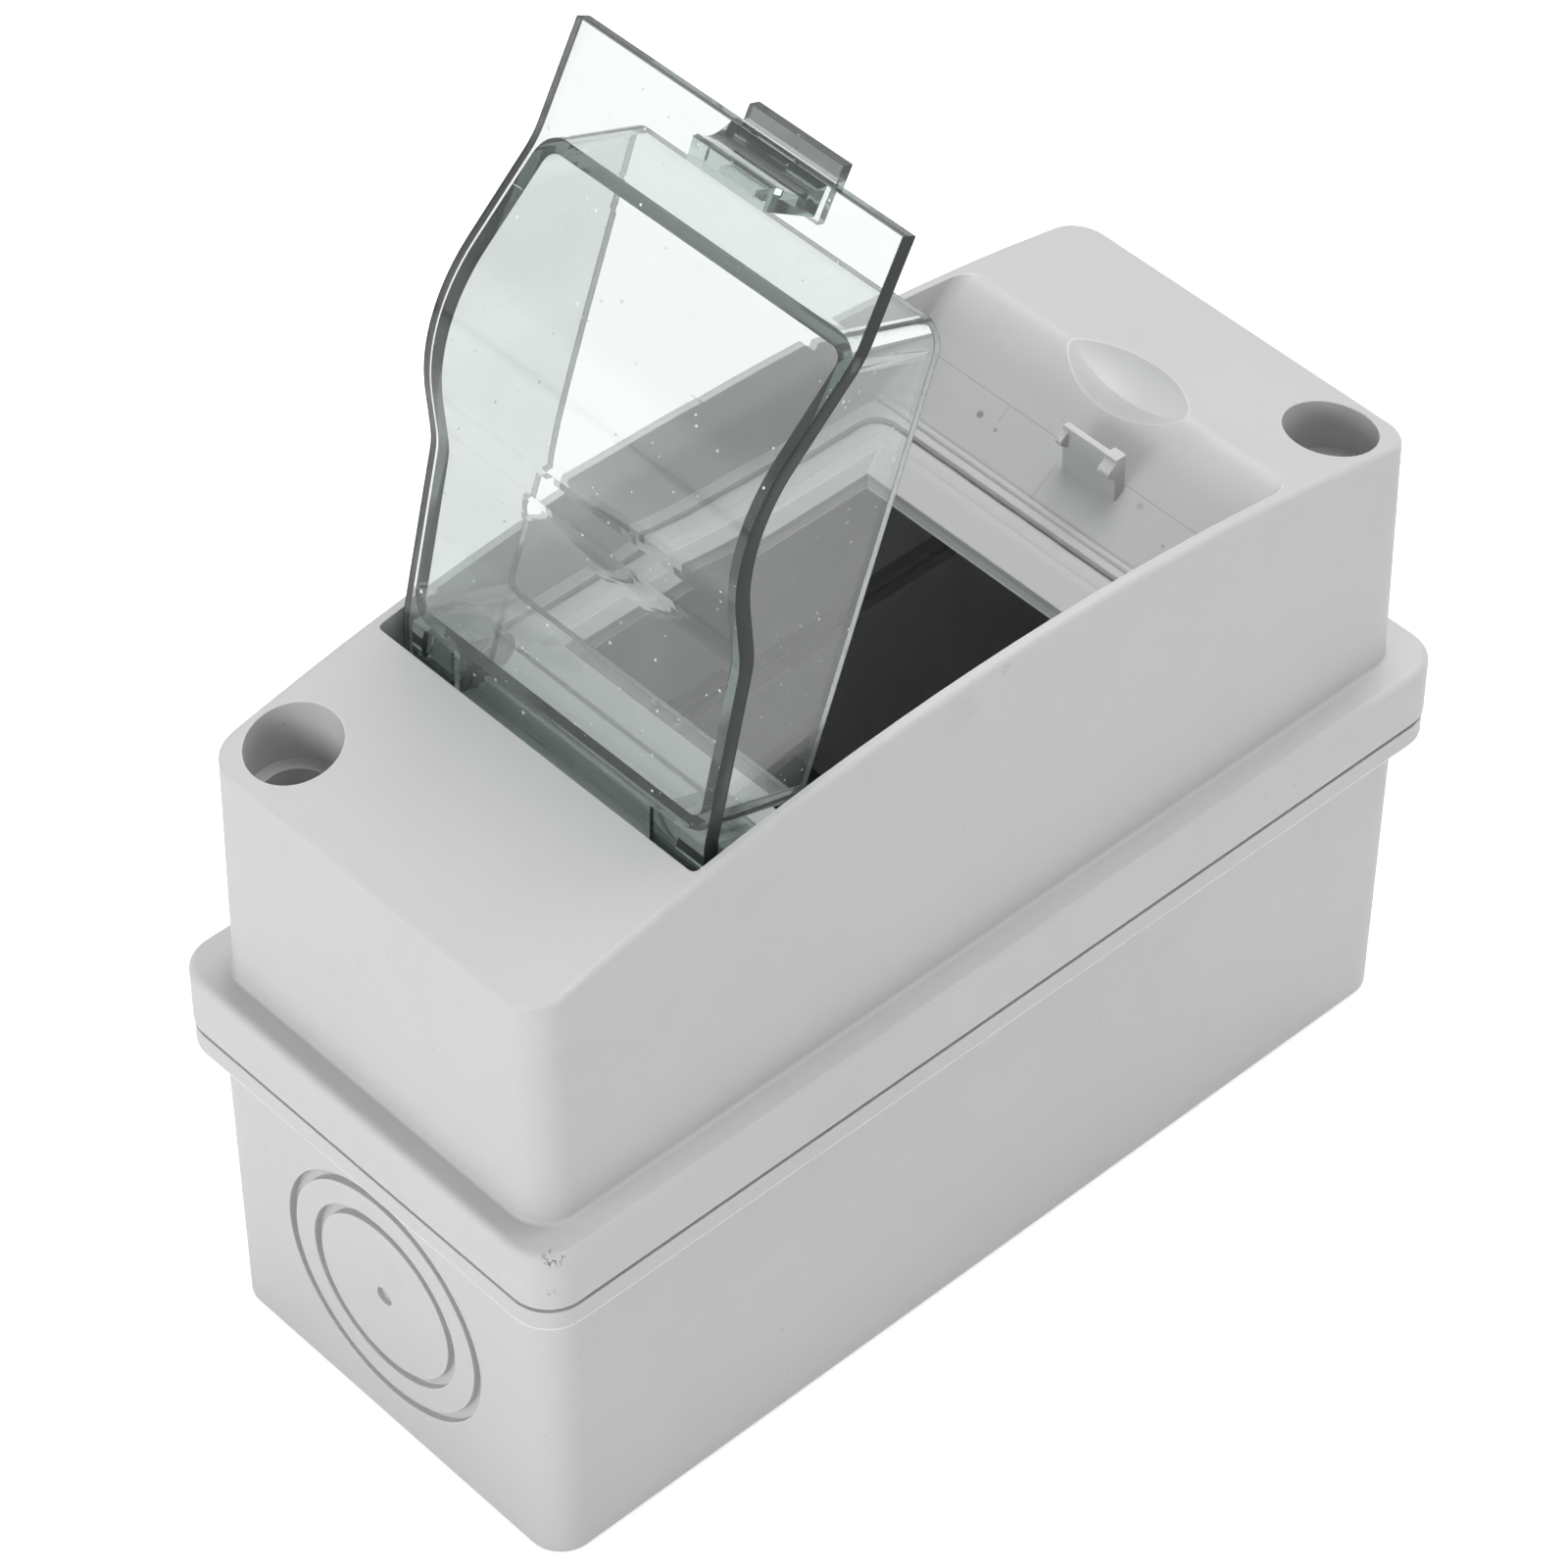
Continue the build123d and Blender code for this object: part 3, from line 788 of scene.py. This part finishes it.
@dataclass(frozen=True)
class FoamSeal:
    """Pale foam that was poured into its groove, with fine pores."""

    name: str
    colour: Colour
    pore_scale: float = 1900.0
    pore_depth: float = 0.05 * MM
    lump_scale: float = 240.0
    lump_shade: float = 0.9
    roughness: float = 0.7

    def build(self) -> bpy.types.Material:
        """Make the material.

        Returns:
            The material.
        """
        material, shading = Shading.for_material(self.name)
        place = shading.place()
        pores = shading.noise(place, self.pore_scale, 4.0, 0.7)
        lumps = shading.noise(place, self.lump_scale, 3.0, 0.6)
        low = tuple(part * self.lump_shade for part in self.colour)
        surface = shading.principled(
            {
                "Base Color": shading.mix(lumps, low, self.colour),
                "Roughness": self.roughness + pores * 0.2,
                "Normal": shading.bump(pores * 0.7 + lumps * 0.3, self.pore_depth),
            }
        )
        shading.finish(surface)
        return material


@dataclass(frozen=True)
class ZincSteel:
    """Zinc-plated steel with fine draw lines and a slightly cloudy coat."""

    name: str
    colour: Colour
    grain: Grain
    roughness: float
    line_scale: float = 900.0
    line_depth: float = 0.006 * MM
    cloud_scale: float = 120.0
    cloud_shade: float = 0.82

    def build(self) -> bpy.types.Material:
        """Make the material.

        Returns:
            The material.
        """
        material, shading = Shading.for_material(self.name)
        place = shading.place()
        lines = shading.noise(shading.stretch(place, self.grain.value), self.line_scale, 3.0, 0.6)
        clouds = shading.noise(place, self.cloud_scale, 4.0, 0.6)
        dull = tuple(part * self.cloud_shade for part in self.colour)
        surface = shading.principled(
            {
                "Base Color": shading.mix(clouds, dull, self.colour),
                "Metallic": 1.0,
                "Roughness": self.roughness + clouds * 0.12 + lines * 0.06,
                "Normal": shading.bump(lines, self.line_depth),
            }
        )
        shading.finish(surface)
        return material


class Builder:
    """Turns plain lists of points and faces into Blender objects that ride on a body."""

    @staticmethod
    def mesh(name: str, points: Sequence[Vector], faces: Sequence[Sequence[int]]) -> bpy.types.Object:
        """Make a smooth mesh object.

        Args:
            name: Name of the object.
            points: Corners in metres.
            faces: Corner numbers of each face.

        Returns:
            The object.
        """
        data = bpy.data.meshes.new(name)
        data.from_pydata([tuple(point) for point in points], [], [list(face) for face in faces])
        data.update()
        made = bmesh.new()
        made.from_mesh(data)
        bmesh.ops.recalc_face_normals(made, faces=made.faces)
        made.to_mesh(data)
        made.free()
        data.polygons.foreach_set("use_smooth", [True] * len(data.polygons))
        piece = bpy.data.objects.new(name, data)
        bpy.context.scene.collection.objects.link(piece)
        return piece

    @staticmethod
    def closed_sweep(
        name: str, count: int, section: Callable[[int], list[Vector]]
    ) -> bpy.types.Object:
        """Sweep a closed section round a closed path.

        Args:
            name: Name of the object.
            count: Number of sections.
            section: Gives the corners of one section, in order.

        Returns:
            The object.
        """
        points: list[Vector] = []
        faces: list[tuple[int, int, int, int]] = []
        size = len(section(0))
        for step in range(count):
            points.extend(section(step))
            for corner in range(size):
                here = step * size + corner
                beside = step * size + (corner + 1) % size
                shift = ((step + 1) % count - step) * size
                faces.append((here, beside, beside + shift, here + shift))
        return Builder.mesh(name, points, faces)

    @staticmethod
    def at_height(point: Vector, height: float) -> Vector:
        """Same point, at another height."""
        return Vector((point.x, point.y, height))

    @staticmethod
    def dress(piece: bpy.types.Object, material: bpy.types.Material) -> None:
        """Give a piece or a node one material.

        Args:
            piece: Piece or node.
            material: Material that it gets.
        """
        if not piece.material_slots:
            piece.data.materials.append(material)
        for slot in piece.material_slots:
            slot.material = material


@dataclass(frozen=True)
class Wave:
    """Wave that closes on itself after one round of a loop."""

    strength: float
    count: int
    lag: float = 1.0

    def at(self, share: float, phase: float = 0.0) -> float:
        """Height of the wave at a share of the loop."""
        return self.strength * math.sin(share * math.tau * self.count + self.lag * phase)


@dataclass(frozen=True)
class RoundedLoop:
    """Closed path round a rectangle with rounded corners, level in space."""

    half_x: float
    half_y: float
    corner: float

    def length(self) -> float:
        """Length of the path."""
        straight = 4 * (self.half_x + self.half_y - 2 * self.corner)
        return straight + 2 * math.pi * self.corner

    def at(self, share: float) -> tuple[Vector, Vector]:
        """Place and outward direction at a share of the path.

        Args:
            share: Zero to one, from the middle of the side towards +X.

        Returns:
            The place and the outward direction.
        """
        way = (share % 1.0) * self.length()
        side_x = 2 * (self.half_x - self.corner)
        side_y = 2 * (self.half_y - self.corner)
        bend = math.pi * self.corner / 2
        runs = (side_y / 2, side_x, side_y, side_x, side_y / 2)
        centres = ((1, 1), (-1, 1), (-1, -1), (1, -1))
        for index, run in enumerate(runs):
            angle = index * math.pi / 2
            out = Vector((math.cos(angle), math.sin(angle), 0))
            along = Vector((-math.sin(angle), math.cos(angle), 0))
            if way <= run or index == 4:
                start = -side_y / 2 if index == 4 else (0.0 if index == 0 else -run / 2)
                depth = self.half_x if index % 2 == 0 else self.half_y
                return out * depth + along * (start + way), out
            way -= run
            if way <= bend:
                turn = angle + way / self.corner
                sign_x, sign_y = centres[index]
                centre = Vector(
                    (sign_x * (self.half_x - self.corner), sign_y * (self.half_y - self.corner), 0)
                )
                out = Vector((math.cos(turn), math.sin(turn), 0))
                return centre + out * self.corner, out
            way -= bend
        raise ValueError("the path has no such place")


@dataclass
class Housing:
    """Back box and front cover, which keep their CAD shapes."""

    colour: Colour = (0.55, 0.55, 0.548)
    # Painted highlight: the burr round the lip is coloured paler than the housing.
    flash_painted_highlight_colour: Colour = (0.78, 0.78, 0.775)
    floor: float = 2.5 * MM
    skin: float = 3.5 * MM
    lip_corner: float = 5.2 * MM
    flash_low: float = 45.15 * MM
    flash_high: float = 45.42 * MM
    flash_reach: float = 0.08 * MM
    flash_root: float = -0.15 * MM
    flash_least: float = 0.06
    flash_waves: tuple[Wave, Wave] = (Wave(0.3, 23), Wave(0.2, 71, 0.0))
    flash_sway: Wave = Wave(0.05 * MM, 37)
    flash_sections: int = 540
    slope_low: float = 84.9 * MM
    slope_end: float = 3.0 * MM
    recess_half: float = 26.45 * MM
    recess_side: float = 0.4 * MM
    recess_reach: float = 47.6 * MM
    beside_rail: float = 2.2 * MM
    end_wall: float = 7.0 * MM

    def build(self) -> list[bpy.types.Object]:
        """Give both shells the grey plastic, with painted light on the walls inside the box and painted
        shade in the recess.

        Returns:
            Both shells and the burr.
        """
        low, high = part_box("back_box")
        cover_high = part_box("front_cover")[1]
        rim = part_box("door_seal")[0].z
        inner_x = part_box("din_rail")[1].x + self.beside_rail
        cavity = Space(inner_x, high.y - self.end_wall, low.z + self.floor, rim - self.skin / 2)
        traces = MouldTraces(self.slope_low, cover_high.z - self.slope_end, self.recess_half)
        recess = Space(self.recess_half - self.recess_side, self.recess_reach, rim, cover_high.z)
        material = MouldedPlastic(
            "grey_housing_plastic", self.colour, recess=recess, cavity=cavity, traces=traces
        ).build()
        shells = [frame["nodes"][name] for name in ("back_box", "front_cover")]
        for shell in shells:
            Builder.dress(shell, material)
        return [*shells, self._flash(high)]

    def _flash(self, high: Vector) -> bpy.types.Object:
        """Thin burr that the mould left round the lip of the back box, coloured paler than the housing as
        a painted highlight along the lip's lower edge.

        Args:
            high: High corner of the back box.

        Returns:
            The burr.
        """
        loop = RoundedLoop(high.x, high.y, self.lip_corner)
        root, bottom, top = self.flash_root, self.flash_low, self.flash_high

        def section(step: int) -> list[Vector]:
            """Corners of the burr at one step of the path.

            Args:
                step: Number of the step.

            Returns:
                The corners in order.
            """
            share = step / self.flash_sections
            place, out = loop.at(share)
            uneven = 0.5 + sum(wave.at(share, 0.6) for wave in self.flash_waves)
            reach = self.flash_reach * max(uneven, self.flash_least)
            tip = (bottom + top) / 2 + self.flash_sway.at(share)
            ring = ((root, bottom), (reach * 0.4, bottom), (reach, tip), (reach * 0.5, top), (root, top))
            return [Builder.at_height(place + out * across, height) for across, height in ring]

        burr = Builder.closed_sweep("lip_flash", self.flash_sections, section)
        # The paler colour of the burr is a painted highlight.
        Builder.dress(burr, MouldedPlastic("flash_plastic", self.flash_painted_highlight_colour, edge_painted_highlight=1.1).build())
        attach(burr, "housing")
        return burr


@dataclass
class ClearDoor:
    """Tinted clear door, which keeps its CAD shape."""

    absorbed: Colour = (0.60, 0.67, 0.64)
    density: float = 190.0
    half_x: float = 25.1 * MM

    def build(self) -> list[bpy.types.Object]:
        """Give the door its clear plastic.

        Returns:
            The door.
        """
        joint = next(entry for entry in frame["joints"] if entry["child"] == "door")
        shut = math.radians(-joint["range_deg"][0])
        closed = ClosedDoor(Vector(joint["pos_m"]), shut, self.half_x)
        finish = ClearPlastic("clear_door_plastic", self.absorbed, self.density, closed)
        node = frame["nodes"]["door"]
        Builder.dress(node, finish.build())
        return [node]


@dataclass
class Seals:
    """Poured foam bead in the frame, gasket of the cover and rings under the screws."""

    foam: Colour = (0.50, 0.50, 0.495)
    corner: float = 3.0 * MM
    width: float = 3.09 * MM
    gap: float = 0.05 * MM
    wobble: float = 0.20 * MM
    crown: float = 84.48 * MM
    crown_wobble: float = 0.10 * MM
    inner_drop: float = 0.03 * MM
    outer_drop: float = 0.10 * MM
    shoulder: float = 0.72
    waves: tuple[Wave, ...] = (Wave(1.0, 7), Wave(0.7, 17, 2.0), Wave(0.6, 41, 3.0), Wave(0.4, 83))
    sections: int = 420

    def build(self) -> list[bpy.types.Object]:
        """Make the foam bead in the place of the plain seal, and dress the other seals.

        Returns:
            The bead and the other seals.
        """
        finish = FoamSeal("poured_seal_foam", self.foam).build()
        bead = self._bead()
        Builder.dress(bead, finish)
        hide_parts("door_seal")
        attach(bead, "housing")
        others = [frame["nodes"][name] for name in ("cover_gasket", "screw_seals")]
        for other in others:
            Builder.dress(other, finish)
        return [bead, *others]

    def _bead(self) -> bpy.types.Object:
        """Make the bead, with edges that wander a little as poured foam does.

        Returns:
            The bead.
        """
        low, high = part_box("door_seal")
        loop = RoundedLoop(high.x, high.y, self.corner)
        most = sum(wave.strength for wave in self.waves)

        def wander(share: float, phase: float) -> float:
            """Uneven wave between zero and one that closes on itself."""
            return (sum(wave.at(share, phase) for wave in self.waves) / most + 1) / 2

        def section(step: int) -> list[Vector]:
            """Corners of the bead at one step of the path.

            Args:
                step: Number of the step.

            Returns:
                The corners in order.
            """
            share = step / self.sections
            place, out = loop.at(share)
            outer = place - out * (self.gap + self.wobble * wander(share, 0.4))
            inner = place - out * self.width
            top = self.crown - self.crown_wobble * wander(share, 4.0)
            shoulder = low.z + (top - low.z) * self.shoulder
            ring = [(0.0, low.z), (0.0, top - self.inner_drop), (0.22, top), (0.52, top - 0.01 * MM)]
            ring += [(0.80, top - self.outer_drop), (1.0, shoulder), (1.0, low.z)]
            return [Builder.at_height(inner.lerp(outer, across), height) for across, height in ring]

        return Builder.closed_sweep("door_seal_foam", self.sections, section)


@dataclass
class Fixings:
    """Rail and all screws, which keep their CAD shapes."""

    steel: Colour = (0.60, 0.61, 0.62)
    # Painted shade: the rail inside the closed box gets a near-black steel colour.
    rail_steel_painted_shade: Colour = (0.15, 0.15, 0.155)
    rail_roughness: float = 0.5
    screw_roughness: float = 0.26

    def build(self) -> list[bpy.types.Object]:
        """Give the rail and the screws their zinc finish.

        Returns:
            The rail and the screws.
        """
        rolled = ZincSteel("zinc_rail_steel", self.rail_steel_painted_shade, Grain.ALONG_X, self.rail_roughness)
        turned = ZincSteel("zinc_screw_steel", self.steel, Grain.ALONG_Z, self.screw_roughness)
        rail, *screws = (frame["nodes"][name] for name in ("din_rail", "rail_screws", "cover_screws"))
        Builder.dress(rail, rolled.build())
        finish = turned.build()
        for screw in screws:
            Builder.dress(screw, finish)
        return [rail, *screws]


@dataclass(frozen=True)
class SoftLight:
    """Rectangular lamp that looks at the box."""

    name: str
    place: tuple[float, float, float]
    width: float
    height: float
    power: float

    def build(self, target: Vector) -> None:
        """Make the lamp.

        Args:
            target: Point that it looks at.
        """
        data = bpy.data.lights.new(self.name, "AREA")
        data.shape = "RECTANGLE"
        data.size = self.width
        data.size_y = self.height
        data.energy = self.power
        lamp = bpy.data.objects.new(self.name, data)
        lamp.location = self.place
        lamp.rotation_euler = (target - Vector(self.place)).to_track_quat("-Z", "Y").to_euler()
        bpy.context.scene.collection.objects.link(lamp)


@dataclass(frozen=True)
class ViewPoint:
    """Camera that stands where the photograph was taken."""

    azimuth: float = 228.41
    elevation: float = 44.79
    roll: float = 0.86
    distance: float = 709.9 * MM
    target: tuple[float, float, float] = (11.15 * MM, 12.37 * MM, 60.13 * MM)
    image_width: float = 1600.0
    focal_pixels: float = 6169.7
    axis_column: float = 695.8
    axis_row: float = 802.0
    sensor: float = 36.0
    nearest: float = 0.01
    farthest: float = 20.0

    def build(self) -> None:
        """Make the camera and set it."""
        turn, rise = math.radians(self.azimuth), math.radians(self.elevation)
        away = Vector((math.sin(turn) * math.cos(rise), -math.cos(turn) * math.cos(rise), math.sin(rise)))
        data = bpy.data.cameras.new("photo_camera")
        data.sensor_fit = "HORIZONTAL"
        data.sensor_width = self.sensor
        data.lens = self.focal_pixels / self.image_width * self.sensor
        data.shift_x = (self.image_width / 2 - self.axis_column) / self.image_width
        data.shift_y = (self.axis_row - self.image_width / 2) / self.image_width
        data.clip_start = self.nearest
        data.clip_end = self.farthest
        camera = bpy.data.objects.new("photo_camera", data)
        look = (-away).to_track_quat("-Z", "Y").to_matrix()
        spin = Matrix.Rotation(-math.radians(self.roll), 3, "Z")
        camera.matrix_world = Matrix.Translation(Vector(self.target) + away * self.distance) @ (
            look @ spin
        ).to_4x4()
        bpy.context.scene.collection.objects.link(camera)
        bpy.context.scene.camera = camera


@dataclass
class Studio:
    """Pale floor, white surroundings, soft lamps and the camera."""

    floor_colour: Colour = (0.90, 0.90, 0.90)
    floor_reach: float = 6.0
    floor_glow: float = 0.14
    backdrop_glow: float = 0.50
    surround: float = 0.35
    dark_surround: float = 0.33
    darken_from: float = 0.22
    darken_to: float = 0.55
    middle: tuple[float, float, float] = (0.0, 0.0, 0.06)
    lights: tuple[SoftLight, ...] = (
        SoftLight("top_light", (0.10, -0.58, 1.58), 1.1, 1.1, 20.5),
        SoftLight("end_light", (0.0, 1.36, 0.50), 0.95, 0.6, 10.8),
        SoftLight("side_light", (-1.35, -0.35, 0.36), 0.9, 0.5, 3.3),
    )
    view: ViewPoint = ViewPoint()

    def build(self) -> None:
        """Make everything that isn't the box."""
        self._world()
        self._floor()
        for light in self.lights:
            light.build(Vector(self.middle))
        self.view.build()
        bpy.context.scene.view_settings.view_transform = "Standard"
        log.info("studio built, %d lamps", len(self.lights))

    def _world(self) -> None:
        """White for the camera, grey for light, and for gloss white low down and darker overhead."""
        world = bpy.data.worlds.new("white_studio")
        world.use_nodes = True
        bpy.context.scene.world = world
        shading = Shading(world.node_tree)
        direction = shading.signal(shading.node("ShaderNodeTexCoord"), "Generated")
        _, _, rise = shading.axes(direction)
        overhead = rise.ramp(self.darken_from, self.darken_to)
        levels = (self.surround, 1.0, self.dark_surround)
        soft, white, dark = (
            shading.node("ShaderNodeBackground", None, {"Color": (1, 1, 1), "Strength": level})
            for level in levels
        )
        gloss = shading.blend(overhead, white, dark)
        seen = shading.blend(shading.rays([Ray.GLOSSY, Ray.TRANSMISSION]), soft, gloss)
        both = shading.blend(shading.rays([Ray.CAMERA]), seen, white)
        shading.node("ShaderNodeOutputWorld", None, {"Surface": both.outputs[0]})

    def _floor(self) -> None:
        """Plain pale floor that keeps the shadow of the box."""
        reach = self.floor_reach
        corners = [Vector((x * reach, y * reach, 0)) for x, y in ((-1, -1), (1, -1), (1, 1), (-1, 1))]
        floor = Builder.mesh("studio_floor", corners, [(0, 1, 2, 3)])
        material, shading = Shading.for_material("pale_floor")
        matt = shading.node("ShaderNodeBsdfDiffuse", None, {"Color": self.floor_colour})
        none, faint, full = (
            shading.node("ShaderNodeEmission", None, {"Color": (1, 1, 1), "Strength": level})
            for level in (0.0, self.floor_glow, self.backdrop_glow)
        )
        glow = shading.blend(shading.rays([Ray.GLOSSY, Ray.TRANSMISSION]), none, faint)
        lift = shading.blend(shading.rays([Ray.CAMERA]), glow, full)
        total = shading.node("ShaderNodeAddShader", None, {0: matt.outputs[0], 1: lift.outputs[0]})
        shading.finish(total)
        Builder.dress(floor, material)


def main() -> None:
    """Build the studio and dress the box, part by part."""
    logging.basicConfig(level=logging.INFO, format="%(name)s: %(message)s")
    Studio().build()
    for part in (Housing(), ClearDoor(), Seals(), Fixings()):
        for piece in part.build():
            log.info("%s: %s ready", type(part).__name__, piece.name)


if __name__ == "__main__":
    main()
